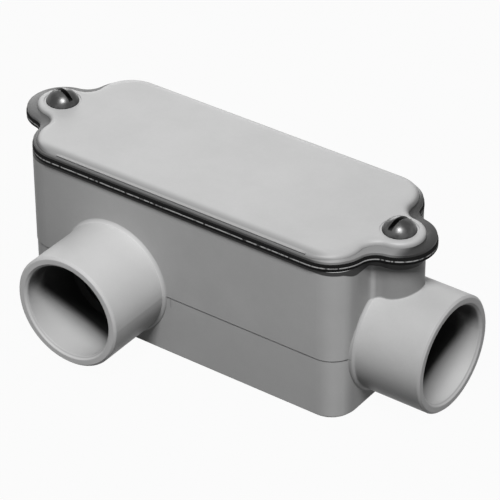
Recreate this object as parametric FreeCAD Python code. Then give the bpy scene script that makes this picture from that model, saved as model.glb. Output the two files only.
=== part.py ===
import FreeCAD, Part
import os
from math import acos, atan2, cos, pi, sin, sqrt

from FreeCAD import Vector

# Conduit body, type LL, trade size 3/4 (metric designator 21). Millimetres.
# Origin: centre of the flat back. +Z points at the cover, +X along the end hub, -Y along the side hub.

# Driving dimensions: the box
BOX_LENGTH = 103.5
BOX_WIDTH = 43.5
BOX_CORNER = 7.6          # radius of the upright corners
BOX_HEIGHT = 46.4         # back face to rim
WALL = 3.2
FLOOR = 3.2
BACK_EDGE = 0.9           # bevel round the back
PARTING_HEIGHT = 18.6     # mould parting line, level with the hub axes
PARTING_STEP = 0.15       # the moulding steps in below the parting line

# Driving dimensions: the socket hubs
CONDUIT_RADIUS = 13.335   # 26.67 mm conduit
SOCKET_GAP = 0.115
SOCKET_DEPTH = 19.0
THROAT_RADIUS = 10.45
HUB_RADIUS = 16.3
HUB_HEIGHT = 18.6
END_HUB_MOUTH = 72.1      # from the origin along X
SIDE_HUB_MOUTH = 42.8     # from the origin along -Y
SIDE_HUB_OFFSET = -20.8   # along X
MOUTH_EDGE = 0.6          # bevel round the outside of the mouth
SOCKET_LEAD_IN = 0.8
HUB_ROOT_FLARE = 0.8      # bevel where the hub meets its wall

# Driving dimensions: the outline that the cover's flange and the gasket share
FLANGE_OVERHANG_SIDE = 1.0
FLANGE_OVERHANG_END = 1.7
FLANGE_CORNER = 9.2
LUG_RADIUS = 10.1
LUG_BLEND = 2.6           # concave fillet between a lug and the end edge
SCREW_REACH = 54.7        # screw axes, from the middle

# Driving dimensions: gasket and cover
GASKET_THICKNESS = 2.0    # cloth-inserted rubber sheet
GASKET_PROUD = 0.1
GASKET_INSIDE = 2.9       # window and cover pocket, in from the box's walls
FLANGE_SIDE = 0.85        # height of the flange's upright side
FLANGE_EDGE = 0.25        # bevel along the flange's upper edge
SKIRT_WIDTH = 3.6         # the flange's top slopes up over this width
SKIRT_RISE = 0.8
COVER_RISE = 2.45         # underside of the flange to the top of the panel
PANEL_INSET_SIDE = 1.75   # flange edge to panel, along the sides
PANEL_INSET_LUG = 3.2     # the same, round the lugs
PANEL_CROWN = 4.6         # width of the soft rounding round the panel
PANEL_BLEND = 5.2         # concave fillet between the panel and its lugs
BEAD_HEIGHT = 0.95        # above the flange's upright side
BEAD_WIDTH = 0.35         # beyond the foot of the panel
BEAD_START = -39.0
BEAD_END = 41.0
COVER_POCKET = 0.7        # depth of the hollow under the panel
SCREW_SEAT_RADIUS = 5.1
SCREW_SEAT_DROP = 0.25

# Driving dimensions: screws and bosses
SCREW_RADIUS = 2.38       # number 10 machine screw
SCREW_LENGTH = 16.0
SCREW_TIP = 0.5           # chamfer at the end of the shank
SCREW_CLEARANCE = 0.05
COVER_HOLE_RADIUS = 2.7
HEAD_RADIUS = 4.56
HEAD_HEIGHT = 3.5
HEAD_SIDE = 0.3
SLOT_WIDTH = 1.25
SLOT_DEPTH = 1.9
SLOT_ANGLES = {"left": -21.0, "right": 85.0}
BOSS_RADIUS = 6.9
BOSS_BLEND = 3.0
BOSS_HOLE_DEPTH = 12.8

# Heights that follow from them
GASKET_TOP = BOX_HEIGHT + GASKET_THICKNESS
FLANGE_TOP = GASKET_TOP + FLANGE_SIDE
PANEL_TOP = GASKET_TOP + COVER_RISE
SCREW_SEAT = PANEL_TOP - SCREW_SEAT_DROP

UP = Vector(0, 0, 1)
MARGIN = 1.0              # how far a cutting tool runs past the face that it cuts


def on_circle(centre, radius, angle):
    """The point of a level circle at an angle in radians."""
    return centre + Vector(radius * cos(angle), radius * sin(angle), 0)


def arc(centre, radius, start, end):
    """A level arc from one angle to another, in radians."""
    points = [on_circle(centre, radius, start + (end - start) * step / 2) for step in range(3)]
    return Part.Arc(*points).toShape()


def line(start, end):
    return Part.LineSegment(start, end).toShape()


def raised(wire, height, base):
    """The solid that stands on an outline at height base."""
    face = Part.Face(wire)
    face.translate(Vector(0, 0, base))
    return face.extrude(UP * height)


def rounded_rectangle(length, width, radius):
    """A rectangle with round corners, centred on the origin."""
    x = length / 2 - radius
    y = width / 2 - radius
    corners = [Vector(x, y, 0), Vector(-x, y, 0), Vector(-x, -y, 0), Vector(x, -y, 0)]
    edges = []
    for turn, centre in enumerate(corners):
        start = turn * pi / 2
        following = corners[(turn + 1) % 4]
        edges.append(arc(centre, radius, start, start + pi / 2))
        edges.append(line(on_circle(centre, radius, start + pi / 2),
                          on_circle(following, radius, start + pi / 2)))
    return Part.Wire(edges)


def lugged_outline(half_length, half_width, corner, lug, blend):
    """A rounded rectangle with a round lug at the middle of each end.

    Each lug is an arc about a screw axis, and a concave arc blends it into the straight end.
    """
    corner_y = half_width - corner
    blend_x = half_length + blend
    blend_y = sqrt((lug + blend) ** 2 - (blend_x - SCREW_REACH) ** 2)
    lean = atan2(blend_y, blend_x - SCREW_REACH)
    edges = []
    for side in (1, -1):
        turn = 0 if side > 0 else pi
        low_corner = Vector(side * (half_length - corner), -side * corner_y, 0)
        high_corner = Vector(side * (half_length - corner), side * corner_y, 0)
        low_blend = Vector(side * blend_x, -side * blend_y, 0)
        high_blend = Vector(side * blend_x, side * blend_y, 0)
        centre = Vector(side * SCREW_REACH, 0, 0)
        opposite = Vector(-side * (half_length - corner), side * corner_y, 0)
        edges.append(arc(low_corner, corner, turn - pi / 2, turn))
        edges.append(line(on_circle(low_corner, corner, turn), on_circle(low_blend, blend, turn + pi)))
        edges.append(arc(low_blend, blend, turn + pi, turn + pi - lean))
        edges.append(arc(centre, lug, turn - lean, turn + lean))
        edges.append(arc(high_blend, blend, turn + pi + lean, turn + pi))
        edges.append(line(on_circle(high_blend, blend, turn + pi), on_circle(high_corner, corner, turn)))
        edges.append(arc(high_corner, corner, turn, turn + pi / 2))
        edges.append(line(on_circle(high_corner, corner, turn + pi / 2),
                          on_circle(opposite, corner, turn + pi / 2)))
    return Part.Wire(edges)


def flange_outline(grow=0.0):
    """The outline of the cover's flange, grown outwards all round."""
    return lugged_outline(BOX_LENGTH / 2 + FLANGE_OVERHANG_END + grow,
                          BOX_WIDTH / 2 + FLANGE_OVERHANG_SIDE + grow,
                          FLANGE_CORNER + grow, LUG_RADIUS + grow, LUG_BLEND - grow)


def panel_outline(shrink=0.0):
    """The outline of the cover's raised panel, shrunk inwards all round."""
    return lugged_outline(BOX_LENGTH / 2 + FLANGE_OVERHANG_END - PANEL_INSET_SIDE - shrink,
                          BOX_WIDTH / 2 + FLANGE_OVERHANG_SIDE - PANEL_INSET_SIDE - shrink,
                          FLANGE_CORNER - PANEL_INSET_SIDE - shrink,
                          LUG_RADIUS - PANEL_INSET_LUG - shrink, PANEL_BLEND + shrink)


def hub_profile(length, wall_run):
    """Half section of a socket hub, x along its axis from the wall, y outwards."""
    flare = HUB_RADIUS + HUB_ROOT_FLARE
    points = [
        Vector(-wall_run, 0, 0),
        Vector(-wall_run, flare, 0),
        Vector(0, flare, 0),
        Vector(HUB_ROOT_FLARE, HUB_RADIUS, 0),
        Vector(length - MOUTH_EDGE, HUB_RADIUS, 0),
        Vector(length, HUB_RADIUS - MOUTH_EDGE, 0),
        Vector(length, 0, 0),
        Vector(-wall_run, 0, 0),
    ]
    return Part.makePolygon(points)


def socket_profile(length, wall_run):
    """Half section of the socket and of the throat that leads from it into the box."""
    socket = CONDUIT_RADIUS + SOCKET_GAP
    stop = length - SOCKET_DEPTH
    points = [
        Vector(-wall_run, 0, 0),
        Vector(-wall_run, THROAT_RADIUS, 0),
        Vector(stop, THROAT_RADIUS, 0),
        Vector(stop, socket, 0),
        Vector(length - SOCKET_LEAD_IN, socket, 0),
        Vector(length, socket + SOCKET_LEAD_IN, 0),
        Vector(length + MARGIN, socket + SOCKET_LEAD_IN, 0),
        Vector(length + MARGIN, 0, 0),
        Vector(-wall_run, 0, 0),
    ]
    return Part.makePolygon(points)


def turned(profile, place):
    """A half section in the XY plane turned a full circle about X, then put in its place."""
    solid = Part.Face(profile).revolve(Vector(0, 0, 0), Vector(1, 0, 0), 360)
    solid.Placement = place
    return solid


def hub_places():
    """Each hub's length beyond its wall and its placement, with its axis along local X."""
    end = FreeCAD.Placement(Vector(BOX_LENGTH / 2, 0, HUB_HEIGHT), FreeCAD.Rotation())
    side = FreeCAD.Placement(Vector(SIDE_HUB_OFFSET, -BOX_WIDTH / 2, HUB_HEIGHT),
                             FreeCAD.Rotation(UP, -90))
    return [(END_HUB_MOUTH - BOX_LENGTH / 2, end), (SIDE_HUB_MOUTH - BOX_WIDTH / 2, side)]


def screw_axes():
    return {"left": Vector(-SCREW_REACH, 0, 0), "right": Vector(SCREW_REACH, 0, 0)}


def level_edges(shape, height):
    """The edges of a shape that lie wholly at one height."""
    found = []
    for edge in shape.Edges:
        box = edge.BoundBox
        if abs(box.ZMin - height) < 1e-4 and abs(box.ZMax - height) < 1e-4:
            found.append(edge)
    return found


def drill(shape, radius, bottom, top):
    """Cut one upright hole on each screw axis."""
    for centre in screw_axes().values():
        hole = Part.makeCylinder(radius, top - bottom, centre + UP * bottom)
        shape = shape.cut(hole)
    return shape


def box_outside():
    """The closed box. The screw bosses run down the ends as far as the parting line."""
    lower = raised(rounded_rectangle(BOX_LENGTH - 2 * PARTING_STEP, BOX_WIDTH - 2 * PARTING_STEP,
                                     BOX_CORNER - PARTING_STEP), PARTING_HEIGHT, 0)
    lower = lower.makeChamfer(BACK_EDGE, level_edges(lower, 0))
    bossed = lugged_outline(BOX_LENGTH / 2, BOX_WIDTH / 2, BOX_CORNER, BOSS_RADIUS, BOSS_BLEND)
    upper = raised(bossed, BOX_HEIGHT - PARTING_HEIGHT, PARTING_HEIGHT)
    return lower.fuse(upper)


def cavity():
    """The space inside the box, open at the rim."""
    space = raised(rounded_rectangle(BOX_LENGTH - 2 * WALL, BOX_WIDTH - 2 * WALL, BOX_CORNER - WALL),
                   BOX_HEIGHT - FLOOR + MARGIN, FLOOR)
    return space.makeChamfer(FLOOR / 2, level_edges(space, FLOOR))


def conduit_body():
    """The moulded body: the box, its bosses and its two socket hubs in one piece."""
    wall_run = WALL / 2
    hubs = [turned(hub_profile(length, wall_run), place) for length, place in hub_places()]
    body = box_outside().fuse(hubs).removeSplitter()
    sockets = [turned(socket_profile(length, WALL + MARGIN), place) for length, place in hub_places()]
    body = body.cut([cavity()] + sockets)
    return drill(body, SCREW_RADIUS + SCREW_CLEARANCE, BOX_HEIGHT - BOSS_HOLE_DEPTH, BOX_HEIGHT + MARGIN)


def cover_gasket():
    """The flat rubber gasket: the flange's outline, a little proud of it, with one large window."""
    sheet = raised(flange_outline(GASKET_PROUD), GASKET_THICKNESS, BOX_HEIGHT)
    window = raised(rounded_rectangle(BOX_LENGTH - 2 * GASKET_INSIDE, BOX_WIDTH - 2 * GASKET_INSIDE,
                                      BOX_CORNER - GASKET_INSIDE),
                    GASKET_THICKNESS + 2 * MARGIN, BOX_HEIGHT - MARGIN)
    ring = sheet.cut(window)
    return drill(ring, SCREW_RADIUS + SCREW_CLEARANCE, BOX_HEIGHT - MARGIN, GASKET_TOP + MARGIN)


def flange():
    """The cover's flange: an upright side, then a top that slopes gently up to the panel."""
    side = raised(flange_outline(), FLANGE_SIDE, GASKET_TOP)
    foot = flange_outline()
    foot.translate(UP * FLANGE_TOP)
    head = flange_outline(-SKIRT_WIDTH)
    head.translate(UP * (FLANGE_TOP + SKIRT_RISE))
    skirt = Part.makeLoft([foot, head], True, True)
    plate = side.fuse(skirt).removeSplitter()
    return plate.makeChamfer(FLANGE_EDGE, level_edges(plate, FLANGE_TOP))


def panel_edge_profile():
    """Section of the panel's soft edge: a quarter ellipse, closed down to the flange's height."""
    half_width = BOX_WIDTH / 2 + FLANGE_OVERHANG_SIDE - PANEL_INSET_SIDE
    start_x = BOX_LENGTH / 2 + FLANGE_OVERHANG_END - FLANGE_CORNER
    rise = PANEL_TOP - FLANGE_TOP
    outer = Vector(start_x, -half_width, FLANGE_TOP)
    inner = Vector(start_x, -half_width + PANEL_CROWN, FLANGE_TOP)
    crest = inner + UP * rise
    ellipse = Part.Ellipse(outer, crest, inner)
    crown = Part.ArcOfEllipse(ellipse, 0, pi / 2).toShape()
    return Part.Wire([crown, line(crest, inner), line(inner, outer)])


def panel():
    """The raised panel: its soft edge swept round the outline, and the flat middle."""
    path = panel_outline()
    path.translate(UP * FLANGE_TOP)
    sweep = Part.BRepOffsetAPI.MakePipeShell(path)
    sweep.setBiNormalMode(UP)
    sweep.add(panel_edge_profile())
    sweep.build()
    sweep.makeSolid()
    middle = raised(panel_outline(PANEL_CROWN), PANEL_TOP - FLANGE_TOP, FLANGE_TOP)
    return Part.Solid(sweep.shape()).fuse(middle).removeSplitter()


def edge_beads():
    """The fine raised bead at the foot of the panel along each long side."""
    foot = BOX_WIDTH / 2 + FLANGE_OVERHANG_SIDE - PANEL_INSET_SIDE
    beads = []
    for side in (-1, 1):
        near = side * (foot + BEAD_WIDTH)
        far = side * (foot - PANEL_CROWN / 2)
        beads.append(Part.makeBox(BEAD_END - BEAD_START, abs(near - far), BEAD_HEIGHT,
                                  Vector(BEAD_START, min(near, far), FLANGE_TOP)))
    return beads


def cover():
    """The moulded cover, hollow under its panel, with a flat seat for each screw head."""
    solid = flange().fuse([panel()] + edge_beads()).removeSplitter()
    pocket = raised(rounded_rectangle(BOX_LENGTH - 2 * GASKET_INSIDE, BOX_WIDTH - 2 * GASKET_INSIDE,
                                      BOX_CORNER - GASKET_INSIDE),
                    COVER_POCKET + MARGIN, GASKET_TOP - MARGIN)
    solid = solid.cut(pocket)
    solid = drill(solid, SCREW_SEAT_RADIUS, SCREW_SEAT, PANEL_TOP + MARGIN)
    return drill(solid, COVER_HOLE_RADIUS, GASKET_TOP - MARGIN, PANEL_TOP + MARGIN)


def screw_profile():
    """Half section of the screw, y up its axis from the underside of the head."""
    dome_rise = HEAD_HEIGHT - HEAD_SIDE
    dome_radius = (HEAD_RADIUS ** 2 + dome_rise ** 2) / (2 * dome_rise)
    half_angle = acos((dome_radius - dome_rise) / dome_radius) / 2
    dome_middle = Vector(dome_radius * sin(half_angle),
                         HEAD_HEIGHT - dome_radius * (1 - cos(half_angle)), 0)
    dome = Part.Arc(Vector(0, HEAD_HEIGHT, 0), dome_middle, Vector(HEAD_RADIUS, HEAD_SIDE, 0))
    path = Part.makePolygon([
        Vector(HEAD_RADIUS, HEAD_SIDE, 0),
        Vector(HEAD_RADIUS, 0, 0),
        Vector(SCREW_RADIUS, 0, 0),
        Vector(SCREW_RADIUS, SCREW_TIP - SCREW_LENGTH, 0),
        Vector(SCREW_RADIUS - SCREW_TIP, -SCREW_LENGTH, 0),
        Vector(0, -SCREW_LENGTH, 0),
        Vector(0, HEAD_HEIGHT, 0),
    ])
    return Part.Wire([dome.toShape()] + path.Edges)


def cover_screw(side):
    """A round-head machine screw with a straight slot; its thread is left plain."""
    shape = Part.Face(screw_profile()).revolve(Vector(0, 0, 0), Vector(0, 1, 0), 360)
    shape.rotate(Vector(0, 0, 0), Vector(1, 0, 0), 90)
    slot = Part.makeBox(4 * HEAD_RADIUS, SLOT_WIDTH, SLOT_DEPTH + MARGIN,
                        Vector(-2 * HEAD_RADIUS, -SLOT_WIDTH / 2, HEAD_HEIGHT - SLOT_DEPTH))
    slot.rotate(Vector(0, 0, 0), UP, SLOT_ANGLES[side])
    screw = shape.cut(slot)
    screw.translate(screw_axes()[side] + UP * SCREW_SEAT)
    return screw


def main():
    os.makedirs("parts", exist_ok=True)
    nodes = {
        "conduit_body": conduit_body(),
        "cover_gasket": cover_gasket(),
        "cover": cover(),
        "cover_screw_left": cover_screw("left"),
        "cover_screw_right": cover_screw("right"),
    }
    for name, shape in nodes.items():
        print(name, shape.isValid(), len(shape.Solids), round(shape.Volume, 1))
        shape.exportStep("parts/" + name + ".step")


main()
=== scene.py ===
"""Looks of a moulded conduit body: satin grey PVC, black rubber gasket, slotted steel screws."""

from math import atan2, cos, pi, radians, sin, sqrt

import bmesh
import bpy
from mathutils import Matrix, Vector

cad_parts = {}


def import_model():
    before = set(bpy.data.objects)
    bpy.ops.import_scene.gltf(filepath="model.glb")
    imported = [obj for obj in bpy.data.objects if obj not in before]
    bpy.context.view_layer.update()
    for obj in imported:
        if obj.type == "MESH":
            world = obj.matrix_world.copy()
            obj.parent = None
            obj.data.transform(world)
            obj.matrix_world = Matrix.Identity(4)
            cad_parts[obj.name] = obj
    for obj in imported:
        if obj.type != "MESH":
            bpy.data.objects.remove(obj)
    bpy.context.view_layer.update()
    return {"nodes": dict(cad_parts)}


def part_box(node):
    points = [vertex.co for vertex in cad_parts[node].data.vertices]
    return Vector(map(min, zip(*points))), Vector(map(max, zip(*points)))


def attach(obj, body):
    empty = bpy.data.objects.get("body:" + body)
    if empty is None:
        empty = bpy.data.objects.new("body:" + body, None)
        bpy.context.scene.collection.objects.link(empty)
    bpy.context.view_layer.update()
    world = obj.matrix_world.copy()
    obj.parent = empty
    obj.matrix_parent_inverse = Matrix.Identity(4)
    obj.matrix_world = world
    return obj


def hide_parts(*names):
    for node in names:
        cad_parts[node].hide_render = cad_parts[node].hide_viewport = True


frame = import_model()

MM = 0.001
UP = Vector((0, 0, 1))


# ---------------------------------------------------------------- shader building

class Value:
    """A number that varies over a surface. Arithmetic on it adds Math nodes."""

    def __init__(self, shader, socket):
        self.shader = shader
        self.socket = socket

    def _math(self, operation, first, second):
        return self.shader.node("ShaderNodeMath", {"operation": operation}, {0: first, 1: second})

    def __add__(self, other):
        return self._math("ADD", self, other)

    def __radd__(self, other):
        return self._math("ADD", other, self)

    def __sub__(self, other):
        return self._math("SUBTRACT", self, other)

    def __rsub__(self, other):
        return self._math("SUBTRACT", other, self)

    def __mul__(self, other):
        return self._math("MULTIPLY", self, other)

    def __rmul__(self, other):
        return self._math("MULTIPLY", other, self)

    def __abs__(self):
        return self._math("ABSOLUTE", self, 0.0)

    def highest(self, other):
        return self._math("MAXIMUM", self, other)


class Shader:
    """The nodes of a material, or of the world, under construction."""

    def __init__(self, owner):
        self.owner = owner
        owner.use_nodes = True
        self.tree = owner.node_tree
        self.tree.nodes.clear()

    def node(self, kind, settings=None, inputs=None, output=0):
        """Add a node: its settings first, then the values or links of its sockets."""
        made = self.tree.nodes.new(kind)
        for name, value in (settings or {}).items():
            setattr(made, name, value)
        for name, value in (inputs or {}).items():
            if isinstance(value, Value):
                self.tree.links.new(value.socket, made.inputs[name])
            else:
                made.inputs[name].default_value = value
        return Value(self, made.outputs[output]) if len(made.outputs) else None

    def position(self):
        """Place on the object, in metres."""
        return self.node("ShaderNodeTexCoord", output="Object")

    def axes(self, vector):
        """The three coordinates of a vector, as values."""
        split = self.node("ShaderNodeSeparateXYZ", None, {0: vector})
        outputs = split.socket.node.outputs
        return [Value(self, outputs[index]) for index in range(3)]

    def stretched(self, vector, scale):
        """A vector scaled along each axis, for patterns that run one way."""
        return self.node("ShaderNodeMapping", None, {"Vector": vector, "Scale": scale})

    def noise(self, vector, size, detail=2.0, roughness=0.5, distortion=0.0):
        """Cloudy noise between 0 and 1 whose blots measure about one size, in metres."""
        return self.node("ShaderNodeTexNoise", None,
                         {"Vector": vector, "Scale": 1.0 / size, "Detail": detail,
                          "Roughness": roughness, "Distortion": distortion})

    def step(self, value, low, high):
        """0 below low, 1 above high, smooth between."""
        return self.node("ShaderNodeMapRange", {"interpolation_type": "SMOOTHSTEP"},
                         {"Value": value, "From Min": low, "From Max": high,
                          "To Min": 0.0, "To Max": 1.0})

    def band(self, value, rise_from, rise_to, fall_from, fall_to):
        """1 between two soft borders, 0 outside them."""
        return self.step(value, rise_from, rise_to) * (1.0 - self.step(value, fall_from, fall_to))

    def blend(self, amount, first, second):
        """A colour between two others."""
        mixed = self.node("ShaderNodeMix", {"data_type": "RGBA", "clamp_factor": True})
        node = mixed.socket.node
        self._feed(node.inputs[0], amount)
        self._feed(node.inputs[6], first)
        self._feed(node.inputs[7], second)
        return Value(self, node.outputs[2])

    def _feed(self, socket, value):
        if isinstance(value, Value):
            self.tree.links.new(value.socket, socket)
        else:
            socket.default_value = value

    def rounded_edges(self, radius):
        """Normals that read every sharp edge as a small rounding."""
        return self.node("ShaderNodeBevel", {"samples": 6}, {"Radius": radius})

    def bump(self, height, distance, strength=1.0, normal=None):
        sockets = {"Height": height, "Distance": distance, "Strength": strength}
        if normal is not None:
            sockets["Normal"] = normal
        return self.node("ShaderNodeBump", None, sockets)

    def surface(self, **sockets):
        """Finish with a Principled surface."""
        inputs = {name.replace("_", " ").title().replace("Ior", "IOR"): value
                  for name, value in sockets.items()}
        shader = self.node("ShaderNodeBsdfPrincipled", None, inputs)
        self.node("ShaderNodeOutputMaterial", None, {"Surface": shader})
        return self.owner


def grey(level):
    """A neutral colour."""
    return (level, level, level, 1.0)


# ---------------------------------------------------------------- finishes

BODY_GREY = 0.40
# Painted light: the socket walls' own grey, a little lighter than the body's, where the lamp reaches in.
SOCKET_GREY = 0.42
COVER_GREY = 0.412
STEEL_GREY = 0.075
RUBBER_GREYS = 0.004, 0.010
THREAD_GREY = 0.44
BODY_SHEEN = 0.25
COVER_SHEEN = 0.35
RUBBER_SHEEN = 0.06

# How strongly each mark on the body is laid on, from 0 for not at all to 1 for wholly: the parting line
# and witness mark are real, the rest are painted shade, painted shadow and painted light
WALL_PAINTED_SHADE = 0.08
LEFT_PAINTED_SHADE = 0.26
LOW_PAINTED_SHADE = 0.14
END_PAINTED_SHADE = 0.16
BOSS_PAINTED_SHADOW = 0.44
UNDERSIDE_PAINTED_SHADE = 0.62
SIDE_HUB_PAINTED_LIGHT = 0.13
PARTING_LINE = 0.45
WITNESS_MARK = 0.35
JOINT_PAINTED_SHADOW = 0.96
SOCKET_PAINTED_SHADOW = 0.95

# Tones of the body's painted shade and painted shadow, and of its fine lines, as shares of its own grey
LINE_SHARE = 0.3
PAINTED_SHADE_SHARE = 0.2
UNDERSIDE_SHADE_SHARE = 0.1
JOINT_SHADOW_SHARE = 0.05
SOCKET_SHADOW_SHARE = 0.02

# Tones of the painted shade and painted highlight on the cover's edges, as shares of its panel's grey, and
# how strongly some are laid on
CROWN_SHADE_SHARE = 0.80
LIP_LIGHT_SHARE = 0.80
BROW_SHADE_SHARE = 0.58
FAR_SHADE_SHARE = 0.26
LEDGE_SHADE_SHARE = 0.46
TIP_SHADE_SHARE = 0.035
SHADE_SHARE = 0.10
RIGHT_PAINTED_SHADE = 0.07
LIP_PAINTED_LIGHT = 0.75
LEFT_LUG_PAINTED_SHADE = 0.62

# Places that the finishes refer to
BODY_LOW, BODY_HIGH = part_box("conduit_body")
BODY_TOP = BODY_HIGH[2]
END_MOUTH = BODY_HIGH[0]
SIDE_MOUTH = BODY_LOW[1]
SIDE_HUB = -20.8 * MM
HUB_HEIGHT = 18.6 * MM
PARTING_HEIGHT = HUB_HEIGHT
HUB_RADIUS = 16.3 * MM
SOCKET_RADIUS = 13.45 * MM
SOCKET_DEPTH = 19.2 * MM
END_LIGHT = {"drift": -1.1, "slant": 2.5}
SIDE_LIGHT = {"drift": 0.65, "slant": 1.8}
BOX_END = 52.0 * MM
BOX_FRONT = 22.0 * MM
SOFT_EDGE = 0.1 * MM
MARK_PLACE = -2.5 * MM
LUG_DROP = 2.2 * MM
COVER_LOW, COVER_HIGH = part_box("cover")
GASKET_LOW, GASKET_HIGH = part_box("cover_gasket")
PANEL_TOP = COVER_HIGH[2]


def moulded_skin(shader, place, level):
    """Colour, roughness and fine grain of moulded PVC."""
    clouds = shader.noise(place, 26 * MM, detail=3.0)
    blotches = shader.noise(place, 6 * MM, detail=4.0, roughness=0.6)
    specks = shader.noise(place, 0.55 * MM, detail=2.0)
    scuffs = shader.noise(shader.stretched(place, (1.0, 5.0, 9.0)), 4 * MM, detail=5.0, roughness=0.7)
    scuffed = shader.step(scuffs, 0.60, 0.74)
    tone = 0.55 * clouds + 0.30 * blotches + 0.15 * specks
    colour = shader.blend(shader.step(tone, 0.30, 0.70), grey(level * 0.95), grey(level * 1.05))
    roughness = 0.42 + 0.10 * blotches + 0.08 * scuffed
    grain = 0.6 * shader.noise(place, 0.35 * MM, detail=2.0) + 0.4 * shader.noise(place, 1.6 * MM)
    return colour, roughness, grain


def socket_wall_and_painted_shadow(shader, depth, aside, height, drift, slant):
    """Masks for a socket's wall: all of it, and a painted shadow on the part that slanting light doesn't
    reach.

    Drift and slant say how far the lit patch moves aside and down for each unit of depth.
    """
    level = height - HUB_HEIGHT
    inside = 1.0 - shader.step(aside * aside + level * level, SOCKET_RADIUS ** 2 * 1.01,
                               SOCKET_RADIUS ** 2 * 1.06)
    inside = inside * shader.band(depth, 0.0, 0.8 * MM, SOCKET_DEPTH, SOCKET_DEPTH + 1.2 * MM)
    across = aside + drift * depth
    above = level + slant * depth
    past = shader.step(across * across + above * above, (0.75 * SOCKET_RADIUS) ** 2,
                       (1.20 * SOCKET_RADIUS) ** 2)
    upper = shader.step(level, -0.2 * SOCKET_RADIUS, 0.4 * SOCKET_RADIUS)
    return inside, inside * past * upper.highest(shader.step(depth, 3.0 * MM, 8.0 * MM))


def box_walls(shader, along, across):
    """Mask of the box alone, without what stands out from its end and front walls."""
    return 1.0 - shader.step(abs(along), BOX_END - SOFT_EDGE, BOX_END + SOFT_EDGE).highest(
        shader.step(0.0 - across, BOX_FRONT - SOFT_EDGE, BOX_FRONT + SOFT_EDGE))


def painted_wall_shade(shader, along, height):
    """How far painted shade darkens the walls: to the left, low down and on the end, but not at the near
    corner, which stays lighter.
    """
    painted_shade_amount = WALL_PAINTED_SHADE + LEFT_PAINTED_SHADE * (1.0 - shader.step(along, -52.0 * MM, -18.0 * MM))
    painted_shade_amount = painted_shade_amount + LOW_PAINTED_SHADE * (1.0 - shader.step(height, 4.0 * MM, 38.0 * MM))
    near_corner = shader.band(along, 45.0 * MM, 49.0 * MM, 50.4 * MM, 51.2 * MM)
    return painted_shade_amount * (1.0 - near_corner) + END_PAINTED_SHADE * shader.step(along, 51.0 * MM, 51.6 * MM)


def witness_mark(shader, along, across, height):
    """Mask of the short upright line beside the side hub, on the outside of the front wall."""
    line = 1.0 - shader.step(abs(along - MARK_PLACE), 0.10 * MM, 0.32 * MM)
    outside = shader.step(0.0 - across, 21.0 * MM, 21.4 * MM)
    return line * outside * shader.band(height, 15.3 * MM, 15.9 * MM, 18.2 * MM, 18.7 * MM)


def painted_joint_shadow(shader, along, height):
    """Mask of a painted shadow in the band just under the rim, deeper under the lugs; the rim's own top
    stays clear.
    """
    lug = shader.step(abs(along), 50.0 * MM, 53.0 * MM)
    below = shader.step(height + lug * LUG_DROP, BODY_TOP - 1.45 * MM, BODY_TOP - 1.10 * MM)
    return below * (1.0 - shader.step(height, BODY_TOP - 0.10 * MM, BODY_TOP - 0.03 * MM))


def pvc_body():
    """Satin grey PVC with its mould's parting line, painted shade on its walls, boss and hub undersides,
    painted light on the side hub, and painted shadow under the rim and in its sockets.
    """
    shader = Shader(bpy.data.materials.new("pvc_body"))
    place = shader.position()
    colour, roughness, grain = moulded_skin(shader, place, BODY_GREY)
    along, across, height = shader.axes(place)
    level = height - HUB_HEIGHT
    fine_line = grey(BODY_GREY * LINE_SHARE)
    dark = grey(BODY_GREY * PAINTED_SHADE_SHARE)

    wall = box_walls(shader, along, across)
    parting = 1.0 - shader.step(abs(height - PARTING_HEIGHT), 0.06 * MM, 0.20 * MM)
    colour = shader.blend(PARTING_LINE * parting * wall, colour, fine_line)
    # Painted shade: the walls darker to the left, low down and on the end.
    colour = shader.blend(wall * painted_wall_shade(shader, along, height), colour, dark)

    past_end = shader.step(along, 52.3 * MM, 53.1 * MM)
    off_hub = shader.step(across * across + level * level, HUB_RADIUS ** 2 * 1.01,
                          HUB_RADIUS ** 2 * 1.06)
    # Painted shadow of the lug on the screw boss past the box's end.
    colour = shader.blend(BOSS_PAINTED_SHADOW * past_end * off_hub, colour, dark)
    side_hub = shader.step(0.0 - across, 22.0 * MM, 22.6 * MM)
    # Painted light: the side hub a little lighter, towards white.
    colour = shader.blend(SIDE_HUB_PAINTED_LIGHT * side_hub, colour, grey(1.0))
    short_of_mouths = (1.0 - shader.step(0.0 - across, 42.1 * MM, 42.5 * MM)) * (
        1.0 - shader.step(along, 71.4 * MM, 71.8 * MM))
    # Painted shade on the hubs' undersides, darker towards the bottom.
    under = 1.0 - shader.step(level, -13.0 * MM, 5.0 * MM)
    hubs = side_hub.highest(past_end) * short_of_mouths
    colour = shader.blend(UNDERSIDE_PAINTED_SHADE * hubs * under, colour, grey(BODY_GREY * UNDERSIDE_SHADE_SHARE))

    mark = witness_mark(shader, along, across, height)
    colour = shader.blend(WITNESS_MARK * mark * wall, colour, fine_line)
    # Painted shadow in a band under the gasket, deeper under the lugs.
    colour = shader.blend(JOINT_PAINTED_SHADOW * painted_joint_shadow(shader, along, height), colour,
                          grey(BODY_GREY * JOINT_SHADOW_SHARE))

    # Sockets: their walls in their own slightly lighter grey as painted light, then a painted shadow where
    # slanting light doesn't reach.
    end_wall, end_painted_shadow = socket_wall_and_painted_shadow(shader, END_MOUTH - along, across, height, **END_LIGHT)
    side_wall, side_painted_shadow = socket_wall_and_painted_shadow(shader, across - SIDE_MOUTH, along - SIDE_HUB, height,
                                       **SIDE_LIGHT)
    colour = shader.blend(end_wall.highest(side_wall), colour, grey(SOCKET_GREY))
    painted_socket_shadow = end_painted_shadow.highest(side_painted_shadow)
    colour = shader.blend(SOCKET_PAINTED_SHADOW * painted_socket_shadow, colour, grey(BODY_GREY * SOCKET_SHADOW_SHARE))
    normal = shader.bump(grain, 0.012 * MM, 0.6, shader.rounded_edges(0.35 * MM))
    return shader.surface(base_color=colour, roughness=roughness + 0.4 * painted_socket_shadow, normal=normal,
                          specular_ior_level=BODY_SHEEN)


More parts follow.
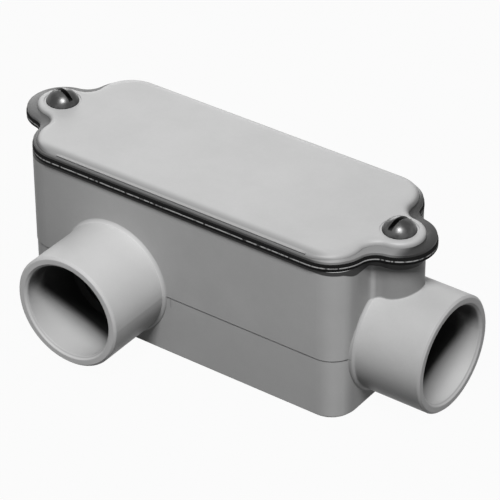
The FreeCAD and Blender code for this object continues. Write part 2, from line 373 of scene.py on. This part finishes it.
def pvc_cover():
    """The cover's PVC: pale on top, with painted shade by depth below the panel, darkest on its ledges,
    and a painted highlight on the front lip.
    """
    shader = Shader(bpy.data.materials.new("pvc_cover"))
    place = shader.position()
    colour, roughness, grain = moulded_skin(shader, place, COVER_GREY)
    along, across, height = shader.axes(place)
    depth = PANEL_TOP - height
    # Painted shade: darker towards the right end.
    colour = shader.blend(RIGHT_PAINTED_SHADE * shader.step(along, 5.0 * MM, 55.0 * MM), colour, grey(0.0))
    # Painted shade on the crown, deeper below the panel's top.
    crown = shader.step(depth, 0.05 * MM, 0.90 * MM)
    colour = shader.blend(crown, colour, grey(COVER_GREY * CROWN_SHADE_SHARE))
    # Painted shade along the front edge.
    brow = shader.step(0.0 - across, 18.9 * MM, 21.8 * MM)
    colour = shader.blend(brow, colour, grey(COVER_GREY * BROW_SHADE_SHARE))
    # Painted shade on the left corner and on the far end's crown.
    left = shader.step(0.0 - along, 40.0 * MM, 47.0 * MM) * shader.step(0.0 - across, 6.0 * MM, 13.0 * MM)
    colour = shader.blend(left * shader.step(depth, 0.30 * MM, 0.80 * MM), colour,
                          grey(COVER_GREY * FAR_SHADE_SHARE))
    far_end = shader.step(along, 44.0 * MM, 52.0 * MM) * shader.step(across, 2.0 * MM, 12.0 * MM)
    colour = shader.blend(far_end * shader.step(depth, 0.02 * MM, 0.7 * MM), colour,
                          grey(COVER_GREY * FAR_SHADE_SHARE))
    # Painted highlight: a lighter band along the front lip.
    lip = shader.band(depth, 0.36 * MM, 0.46 * MM, 0.64 * MM, 0.76 * MM)
    lip = lip * shader.step(0.0 - across, 19.0 * MM, 20.0 * MM)
    lip = lip * (1.0 - shader.step(abs(along - 1.0 * MM), 38.0 * MM, 41.0 * MM))
    colour = shader.blend(LIP_PAINTED_LIGHT * lip, colour, grey(COVER_GREY * LIP_LIGHT_SHARE))
    # Painted shade on the end ledges, near black at the right lug's tip and towards the back, and part way
    # round the left lug.
    low = shader.step(depth, 1.25 * MM, 1.50 * MM)
    ends = shader.step(abs(along), 47.0 * MM, 51.0 * MM)
    away = shader.step(along, 57.5 * MM, 61.5 * MM).highest(shader.step(across, -2.0 * MM, 6.0 * MM))
    away = away.highest(LEFT_LUG_PAINTED_SHADE * shader.step(0.0 - along, 40.0 * MM, 50.0 * MM))
    ledge = shader.blend(away, grey(COVER_GREY * LEDGE_SHADE_SHARE), grey(COVER_GREY * TIP_SHADE_SHARE))
    colour = shader.blend(low * ends, colour, ledge)
    # Painted shade in a band low on the middle of the front side.
    front = shader.step(0.0 - across, 11.0 * MM, 17.0 * MM)
    inner = 1.0 - shader.step(along, 42.0 * MM, 47.0 * MM)
    colour = shader.blend(shader.step(depth, 1.05 * MM, 1.9 * MM) * front * inner, colour,
                          grey(COVER_GREY * SHADE_SHARE))
    normal = shader.bump(grain, 0.012 * MM, 0.6, shader.rounded_edges(0.20 * MM))
    return shader.surface(base_color=colour, roughness=roughness, normal=normal,
                          specular_ior_level=COVER_SHEEN)


def gasket_rubber():
    """Black sheet rubber with a ply of pale cloth, whose cut threads show half way up its edge."""
    shader = Shader(bpy.data.materials.new("gasket_rubber"))
    place = shader.position()
    along, across, height = shader.axes(place)
    middle = (GASKET_LOW[2] + GASKET_HIGH[2]) / 2
    grain = shader.noise(place, 0.4 * MM, detail=3.0)
    rubber = shader.blend(grain, grey(RUBBER_GREYS[0]), grey(RUBBER_GREYS[1]))
    wander = shader.noise(place, 5 * MM, detail=1.0)
    off = abs(height - middle + (wander - 0.5) * (0.18 * MM))
    ply = 1.0 - shader.step(off, 0.10 * MM, 0.24 * MM)
    ends = shader.noise(shader.stretched(place, (1.0, 1.0, 0.2)), 0.9 * MM, detail=2.0)
    cut = ply * shader.step(ends, 0.30, 0.52)
    colour = shader.blend(cut, rubber, grey(THREAD_GREY))
    bump = grain + 2.0 * cut
    return shader.surface(base_color=colour, roughness=0.66 + 0.2 * grain,
                          specular_ior_level=RUBBER_SHEEN,
                          normal=shader.bump(bump, 0.03 * MM, 0.5))


def screw_steel():
    """Dark drawn steel, polished, with a fine grain and faint stains."""
    shader = Shader(bpy.data.materials.new("screw_steel"))
    place = shader.position()
    grain = shader.noise(place, 0.5 * MM, detail=4.0)
    stains = shader.noise(place, 2.2 * MM, detail=3.0)
    colour = shader.blend(shader.step(stains, 0.35, 0.65), grey(STEEL_GREY * 0.75), grey(STEEL_GREY * 1.2))
    return shader.surface(base_color=colour, metallic=1.0, roughness=0.27 + 0.12 * grain,
                          normal=shader.bump(grain, 0.008 * MM, 0.5))


def dress(node, material):
    """Give a carried-over node its finish."""
    piece = frame["nodes"][node]
    piece.data.materials.clear()
    piece.data.materials.append(material)


dress("conduit_body", pvc_body())
COVER_PVC = pvc_cover()
RUBBER = gasket_rubber()
STEEL = screw_steel()


# ---------------------------------------------------------------- pieces

TINY = 0.001 * MM


def face_out(shape):
    """Turn every face of a closed shape outwards."""
    bmesh.ops.recalc_face_normals(shape, faces=shape.faces)
    if shape.calc_volume(signed=True) < 0.0:
        bmesh.ops.reverse_faces(shape, faces=shape.faces)


def finished(shape, name, material, corner=35.0):
    """Make a bmesh into a piece, smooth but for its corners."""
    mesh = bpy.data.meshes.new(name)
    shape.to_mesh(mesh)
    shape.free()
    mesh.shade_smooth()
    mesh.set_sharp_from_angle(angle=radians(corner))
    piece = bpy.data.objects.new(name, mesh)
    bpy.context.scene.collection.objects.link(piece)
    mesh.materials.append(material)
    return piece


# Screws, modelled about their own axis with the foot of the head at height 0
DOME_RISE = 3.2 * MM
HEAD_SIDE = 0.3 * MM
HEAD_RADIUS = 4.52 * MM
SHANK_RADIUS = 2.34 * MM
ROOT_RADIUS = 1.95 * MM
SHANK_LENGTH = 16.0 * MM
PLAIN_LENGTH = 2.2 * MM
TIP = 0.6 * MM
PITCH = 1.06 * MM
SLOT_WIDTH = 1.25 * MM
SLOT_FLOOR = 1.6 * MM
SLOT_ANGLES = {"left": -12.0, "right": 79.0}


def turned_screw(shape):
    """The screw's dome, head and plain shank, spun from half its section."""
    ball = (HEAD_RADIUS ** 2 + DOME_RISE ** 2) / (2 * DOME_RISE)
    foot = atan2(HEAD_RADIUS, ball - DOME_RISE)
    top = shape.verts.new((0.0, 0.0, HEAD_SIDE + DOME_RISE))
    bmesh.ops.spin(shape, geom=[top], cent=(0.0, 0.0, HEAD_SIDE + DOME_RISE - ball),
                   axis=(0.0, 1.0, 0.0), angle=foot, steps=20, use_merge=False)
    last = max(shape.verts, key=lambda corner: corner.co.x)
    for x, z in ((HEAD_RADIUS + 0.03 * MM, 0.22 * MM), (HEAD_RADIUS, 0.08 * MM),
                 (HEAD_RADIUS - 0.14 * MM, 0.0), (SHANK_RADIUS + 0.25 * MM, 0.0),
                 (SHANK_RADIUS, -0.25 * MM), (SHANK_RADIUS, -PLAIN_LENGTH),
                 (ROOT_RADIUS, -PLAIN_LENGTH - 0.35 * MM), (ROOT_RADIUS, TIP - SHANK_LENGTH),
                 (ROOT_RADIUS - TIP, -SHANK_LENGTH), (0.0, -SHANK_LENGTH)):
        following = shape.verts.new((x, 0.0, z))
        shape.edges.new((last, following))
        last = following
    bmesh.ops.spin(shape, geom=shape.verts[:] + shape.edges[:], cent=(0.0, 0.0, 0.0),
                   axis=(0.0, 0.0, 1.0), angle=2 * pi, steps=64, use_merge=True)
    bmesh.ops.remove_doubles(shape, verts=shape.verts, dist=TINY)


def cut_slot(shape):
    """A driver slot right across the head, along Y, with its long edges eased."""
    for place, facing in (((-SLOT_WIDTH / 2, 0, 0), (1, 0, 0)), ((SLOT_WIDTH / 2, 0, 0), (1, 0, 0)),
                          ((0, 0, SLOT_FLOOR), (0, 0, 1))):
        head = [face for face in shape.faces if face.calc_center_median().z > 0.1 * MM]
        rims = {edge for face in head for edge in face.edges}
        corners = {corner for face in head for corner in face.verts}
        bmesh.ops.bisect_plane(shape, geom=list(corners) + list(rims) + head, dist=TINY / 10,
                               plane_co=place, plane_no=facing)
    gone = [face for face in shape.faces if abs(face.calc_center_median().x) < SLOT_WIDTH / 2
            and face.calc_center_median().z > SLOT_FLOOR]
    bmesh.ops.delete(shape, geom=gone, context="FACES")
    eased = []
    for side in (-SLOT_WIDTH / 2, SLOT_WIDTH / 2):
        lip = [edge for edge in shape.edges if edge.is_boundary
               and all(abs(corner.co.x - side) < TINY for corner in edge.verts)]
        ends = [corner for corner in {end for edge in lip for end in edge.verts}
                if abs(corner.co.z - SLOT_FLOOR) < TINY]
        bmesh.ops.contextual_create(shape, geom=lip + [shape.edges.new(ends)])
        eased += lip
    bmesh.ops.contextual_create(shape, geom=[edge for edge in shape.edges if edge.is_boundary])
    bmesh.ops.recalc_face_normals(shape, faces=shape.faces)
    bmesh.ops.bevel(shape, geom=eased, offset=0.14 * MM, offset_type="OFFSET", affect="EDGES",
                    segments=2, profile=0.5, material=-1)


def add_thread(screw_shape):
    """A ridge that winds down the shank. It is a closed shape, so its faces are turned out alone."""
    shape = bmesh.new()
    turns = (SHANK_LENGTH - PLAIN_LENGTH - TIP - PITCH) / PITCH
    start = -PLAIN_LENGTH - 0.5 * MM
    section = [shape.verts.new(place) for place in
               ((ROOT_RADIUS - 0.1 * MM, 0.0, start + 0.46 * PITCH),
                (SHANK_RADIUS, 0.0, start + 0.07 * PITCH),
                (SHANK_RADIUS, 0.0, start - 0.07 * PITCH),
                (ROOT_RADIUS - 0.1 * MM, 0.0, start - 0.46 * PITCH))]
    face = shape.faces.new(section)
    steps = int(turns * 28)
    bmesh.ops.spin(shape, geom=section + face.edges[:] + [face], cent=(0.0, 0.0, 0.0),
                   axis=(0.0, 0.0, 1.0), dvec=(0.0, 0.0, -turns * PITCH / steps),
                   angle=2 * pi * turns, steps=steps, use_merge=False)
    face_out(shape)
    ridge = bpy.data.meshes.new("ridge")
    shape.to_mesh(ridge)
    shape.free()
    screw_shape.from_mesh(ridge)
    bpy.data.meshes.remove(ridge)


def screw(side):
    """One slotted round-head machine screw, standing where the model has it."""
    node = "cover_screw_" + side
    low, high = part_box(node)
    shape = bmesh.new()
    turned_screw(shape)
    cut_slot(shape)
    face_out(shape)
    add_thread(shape)
    turn = Matrix.Rotation(radians(SLOT_ANGLES[side] - 90.0), 4, "Z")
    foot = Vector(((low[0] + high[0]) / 2, (low[1] + high[1]) / 2, high[2] - HEAD_SIDE - DOME_RISE))
    bmesh.ops.transform(shape, matrix=Matrix.Translation(foot) @ turn, verts=shape.verts)
    piece = finished(shape, "slotted_screw_" + side, STEEL)
    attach(piece, "screw_" + side)
    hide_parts(node)


# Cover and gasket, built from level rings that share one outline; outlines are in millimetres
SCREW_REACH = 54.7 * MM
GASKET_OUTLINE = {"length": 52.7, "width": 22.7, "corner": 10.9, "lug": 10.0, "blend": 5.0}
LEDGE_OUTLINE = {"length": 52.4, "width": 22.4, "corner": 10.6, "lug": 9.7, "blend": 5.3}
PANEL_OUTLINE = {"length": 50.9, "width": 22.25, "corner": 9.8, "lug": 6.9, "blend": 5.0}
LEDGE_TOP = 49.3 * MM
CROWN_WIDTH = 3.2
CROWN_AT_LUG = 1.45
CROWN_SQUARENESS = 2.5
SEAT_RADIUS = 5.1 * MM
SEAT_DROP = 0.25 * MM
HOLE_RADIUS = 2.7 * MM
WINDOW_LENGTH, WINDOW_WIDTH, WINDOW_CORNER = 48.85 * MM, 18.85 * MM, 4.7 * MM
POCKET_DEPTH = 0.7 * MM


def spun(shape, corner, centre, angle, steps):
    """Carry a vertex round a level arc, and return the arc's last vertex."""
    pivot = (centre[0], centre[1], corner.co.z)
    made = bmesh.ops.spin(shape, geom=[corner], cent=pivot, axis=(0, 0, 1), angle=angle,
                          steps=steps, use_merge=False)
    return [part for part in made["geom_last"] if isinstance(part, bmesh.types.BMVert)][0]


def touching_centre(corner_centre, corner_reach, lug_reach):
    """Centre of the hollow arc that touches a corner's arc and a lug's."""
    gap = Vector((SCREW_REACH, 0.0)) - corner_centre
    along = (corner_reach ** 2 - lug_reach ** 2 + gap.length ** 2) / (2 * gap.length)
    aside = sqrt(max(corner_reach ** 2 - along ** 2, 0.0))
    out = gap.normalized()
    return corner_centre + out * along + Vector((-out.y, out.x)) * aside


def lugged_ring(shape, outline, height, grow=0.0, lug_grow=None):
    """A ring of edges: a round-cornered oblong with a round lug at the middle of each end."""
    lug_grow = grow if lug_grow is None else lug_grow
    half_length = (outline["length"] + grow) * MM
    half_width = (outline["width"] + grow) * MM
    corner = (outline["corner"] + grow) * MM
    lug = (outline["lug"] + lug_grow) * MM
    blend = (outline["blend"] - lug_grow) * MM
    before = set(shape.edges)
    corner_centre = Vector((half_length - corner, half_width - corner))
    hollow = touching_centre(corner_centre, corner + blend, lug + blend)
    lean = atan2(hollow.y, hollow.x - SCREW_REACH)
    meet = atan2(hollow.y - corner_centre.y, hollow.x - corner_centre.x)
    first = shape.verts.new((SCREW_REACH + lug, 0.0, height))
    last = spun(shape, first, (SCREW_REACH, 0.0), lean, 14)
    last = spun(shape, last, hollow, meet - lean, 10)
    last = spun(shape, last, corner_centre, pi / 2 - meet, 12)
    middle = shape.verts.new((0.0, half_width, height))
    shape.edges.new((last, middle))
    for axis in ("Y", "X"):
        made = [edge for edge in shape.edges if edge not in before]
        corners = {end for edge in made for end in edge.verts}
        bmesh.ops.mirror(shape, geom=list(corners) + made, matrix=Matrix.Identity(4),
                         merge_dist=TINY, axis=axis)
    return [edge for edge in shape.edges if edge not in before]


def round_ring(shape, side, radius, height):
    """A ring about a screw's axis; side is -1 for the left screw and 1 for the right."""
    before = set(shape.edges)
    bmesh.ops.create_circle(shape, cap_ends=False, segments=48, radius=radius,
                            matrix=Matrix.Translation((side * SCREW_REACH, 0.0, height)))
    return [edge for edge in shape.edges if edge not in before]


def window_ring(shape, height):
    """The edge of a window or pocket: a round-cornered oblong just wider than the box's mouth."""
    before = set(shape.edges)
    corners = [shape.verts.new((x * WINDOW_LENGTH, y * WINDOW_WIDTH, height))
               for x, y in ((-1, -1), (1, -1), (1, 1), (-1, 1))]
    for index in range(4):
        shape.edges.new((corners[index - 1], corners[index]))
    bmesh.ops.bevel(shape, geom=corners, offset=WINDOW_CORNER, offset_type="OFFSET",
                    affect="VERTICES", segments=6, profile=0.5, material=-1)
    return [edge for edge in shape.edges if edge not in before]


def bridged(shape, rings):
    """Join each ring to the next with a band of faces."""
    for lower, upper in zip(rings, rings[1:]):
        bmesh.ops.bridge_loops(shape, edges=lower + upper)


def filled(shape, *rings):
    """A flat face inside the first ring and outside the others."""
    bmesh.ops.triangle_fill(shape, use_beauty=True, use_dissolve=False,
                            edges=[edge for ring in rings for edge in ring])


def gasket():
    """The rubber sheet: its cut edge pulls in a little above and below the ply of cloth."""
    shape = bmesh.new()
    low, high = GASKET_LOW[2], GASKET_HIGH[2]
    middle = (low + high) / 2
    edge = ((low, -0.15), (low + 0.16 * MM, -0.05), (middle - 0.34 * MM, -0.04), (middle - 0.16 * MM, 0.0),
            (middle + 0.16 * MM, 0.0), (middle + 0.34 * MM, -0.04), (high - 0.16 * MM, -0.05),
            (high, -0.15))
    outer = [lugged_ring(shape, GASKET_OUTLINE, height, grow) for height, grow in edge]
    bridged(shape, outer)
    windows = [window_ring(shape, height) for height in (low, high)]
    bridged(shape, windows)
    holes = [[round_ring(shape, side, HOLE_RADIUS, height) for height in (low, high)]
             for side in (-1, 1)]
    for hole in holes:
        bridged(shape, hole)
    for level, ring in ((0, outer[0]), (1, outer[-1])):
        filled(shape, ring, windows[level], holes[0][level], holes[1][level])
    face_out(shape)
    piece = finished(shape, "gasket_sheet", RUBBER, corner=50.0)
    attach(piece, "cover")
    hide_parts("cover_gasket")


def crown_rings(shape):
    """The panel's sides and the soft rounding over into its flat top."""
    rings = [lugged_ring(shape, PANEL_OUTLINE, LEDGE_TOP + 0.02 * MM, 0.0)]
    rise = PANEL_TOP - LEDGE_TOP
    for step in range(1, 11):
        turn = step / 10 * pi / 2
        inward = 1 - cos(turn) ** (2 / CROWN_SQUARENESS) if step < 10 else 1.0
        height = LEDGE_TOP + rise * sin(turn) ** (2 / CROWN_SQUARENESS)
        rings.append(lugged_ring(shape, PANEL_OUTLINE, height, -CROWN_WIDTH * inward,
                                 -CROWN_AT_LUG * inward))
    return rings


def cover():
    """The cover: a thin lugged ledge, and on it a panel with a soft crown and two screw seats."""
    shape = bmesh.new()
    low = COVER_LOW[2]
    ledge = [lugged_ring(shape, LEDGE_OUTLINE, height, grow) for height, grow in
             ((low, -0.10), (low + 0.08 * MM, 0.0), (LEDGE_TOP - 0.10 * MM, 0.0), (LEDGE_TOP, -0.12))]
    crown = crown_rings(shape)
    bridged(shape, ledge + crown)
    seats, soles = [], []
    for side in (-1, 1):
        rings = [round_ring(shape, side, SEAT_RADIUS + 0.06 * MM, PANEL_TOP),
                 round_ring(shape, side, SEAT_RADIUS, PANEL_TOP - 0.06 * MM),
                 round_ring(shape, side, SEAT_RADIUS, PANEL_TOP - SEAT_DROP),
                 round_ring(shape, side, HOLE_RADIUS, PANEL_TOP - SEAT_DROP),
                 round_ring(shape, side, HOLE_RADIUS, low)]
        bridged(shape, rings)
        seats.append(rings[0])
        soles.append(rings[-1])
    filled(shape, crown[-1], *seats)
    pocket = [window_ring(shape, height) for height in (low, low + POCKET_DEPTH)]
    bridged(shape, pocket)
    filled(shape, ledge[0], pocket[0], *soles)
    filled(shape, pocket[1])
    add_lip(shape)
    face_out(shape)
    piece = finished(shape, "crowned_cover", COVER_PVC, corner=40.0)
    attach(piece, "cover")
    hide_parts("cover")


LIP_LOW = Vector((-39.0, -22.36, 50.08)) * MM
LIP_HIGH = Vector((41.0, -21.40, 50.34)) * MM


def add_lip(shape):
    """A fine moulded lip along the crown of the front side."""
    size = LIP_HIGH - LIP_LOW
    place = Matrix.Translation((LIP_LOW + LIP_HIGH) / 2) @ Matrix.Diagonal((*size, 1.0))
    made = bmesh.ops.create_cube(shape, size=1.0, matrix=place)["verts"]
    rims = {edge for corner in made for edge in corner.link_edges}
    bmesh.ops.bevel(shape, geom=list(rims), offset=0.07 * MM, offset_type="OFFSET",
                    affect="EDGES", segments=2, profile=0.5, material=-1)


screw("left")
screw("right")
gasket()
cover()


# ---------------------------------------------------------------- stage, light and camera

FLOOR_SIZE = 6.0
FLOOR_DROP = 0.02 * MM
FLOOR_LEVEL = 0.10
SHADOW_SHARE = 0.04       # how much of the floor's true shade the camera sees


def floor():
    """A wide pale floor that keeps the object's shadow."""
    mesh = bpy.data.meshes.new("floor")
    shape = bmesh.new()
    bmesh.ops.create_grid(shape, x_segments=1, y_segments=1, size=FLOOR_SIZE,
                          matrix=Matrix.Translation((0.0, 0.0, -FLOOR_DROP)))
    shape.to_mesh(mesh)
    shape.free()
    plane = bpy.data.objects.new("floor", mesh)
    bpy.context.scene.collection.objects.link(plane)
    plane.data.materials.append(floor_finish())


def seen_as_white(shader):
    """1 for camera, mirror and glass rays, and 0 for the rays that carry diffuse light."""
    path = shader.node("ShaderNodeLightPath").socket.node.outputs
    seen = Value(shader, path["Is Camera Ray"])
    for ray in ("Is Glossy Ray", "Is Transmission Ray"):
        seen = seen.highest(Value(shader, path[ray]))
    return seen


def floor_finish():
    """Pale paper that the camera sees as white, with a trace of the shadow on it."""
    shader = Shader(bpy.data.materials.new("floor_paper"))
    diffuse = shader.node("ShaderNodeBsdfDiffuse", None, {"Color": grey(FLOOR_LEVEL)})
    glow = shader.node("ShaderNodeEmission", None, {"Color": grey(1.0), "Strength": 1.0})
    mixed = shader.node("ShaderNodeMixShader", None,
                        {0: seen_as_white(shader) * (1.0 - SHADOW_SHARE), 1: diffuse, 2: glow})
    shader.node("ShaderNodeOutputMaterial", None, {"Surface": mixed})
    return shader.owner


ROOM_LIGHT = 0.0          # diffuse light from all round; reflections still see white


def world():
    """Surroundings that the camera and reflections see as white."""
    room = bpy.data.worlds.new("room")
    bpy.context.scene.world = room
    shader = Shader(room)
    felt = shader.node("ShaderNodeBackground", None, {"Color": grey(1.0), "Strength": ROOM_LIGHT})
    white = shader.node("ShaderNodeBackground", None, {"Color": grey(1.0), "Strength": 1.0})
    mixed = shader.node("ShaderNodeMixShader", None, {0: seen_as_white(shader), 1: felt, 2: white})
    shader.node("ShaderNodeOutputWorld", None, {"Surface": mixed})


CENTRE = Vector((4.0, 0.0, 26.0)) * MM


def toward(azimuth, elevation):
    """Unit vector at an azimuth, measured from -Y towards +X, and an elevation, in degrees."""
    turn = radians(azimuth)
    rise = radians(elevation)
    return Vector((sin(turn) * cos(rise), -cos(turn) * cos(rise), sin(rise)))


def soft_box(name, azimuth, elevation, distance, width, height, power):
    """A rectangular lamp that faces the object."""
    lamp = bpy.data.lights.new(name, "AREA")
    lamp.shape = "RECTANGLE"
    lamp.size = width
    lamp.size_y = height
    lamp.energy = power
    holder = bpy.data.objects.new(name, lamp)
    away = toward(azimuth, elevation)
    holder.location = CENTRE + away * distance
    holder.rotation_euler = away.to_track_quat("Z", "Y").to_euler()
    bpy.context.scene.collection.objects.link(holder)
    return holder


VIEW_AZIMUTH = 35.82
VIEW_ELEVATION = 34.06
VIEW_ROLL = -0.25
VIEW_DISTANCE = 773.7 * MM
VIEW_AIM = Vector((4.01, 5.40, 21.61)) * MM
LENS = 207.13


def camera():
    """A long lens at the chosen angle, rolled a little."""
    lens = bpy.data.cameras.new("camera")
    lens.lens = LENS
    lens.sensor_width = 36.0
    lens.clip_start = 0.01
    holder = bpy.data.objects.new("camera", lens)
    back = toward(VIEW_AZIMUTH, VIEW_ELEVATION)
    right = UP.cross(back).normalized()
    above = back.cross(right)
    roll = radians(VIEW_ROLL)
    level_right = right * cos(roll) + above * sin(roll)
    level_up = above * cos(roll) - right * sin(roll)
    turn = Matrix((level_right, level_up, back)).transposed().to_4x4()
    holder.matrix_world = Matrix.Translation(VIEW_AIM + back * VIEW_DISTANCE) @ turn
    bpy.context.scene.collection.objects.link(holder)
    bpy.context.scene.camera = holder


floor()
world()
soft_box("main", azimuth=33.0, elevation=60.0, distance=1.6, width=0.5, height=0.4, power=33.5)
soft_box("back", azimuth=222.0, elevation=15.0, distance=1.6, width=1.0, height=0.5, power=7.0)
camera()

scene = bpy.context.scene
scene.view_settings.view_transform = "Standard"
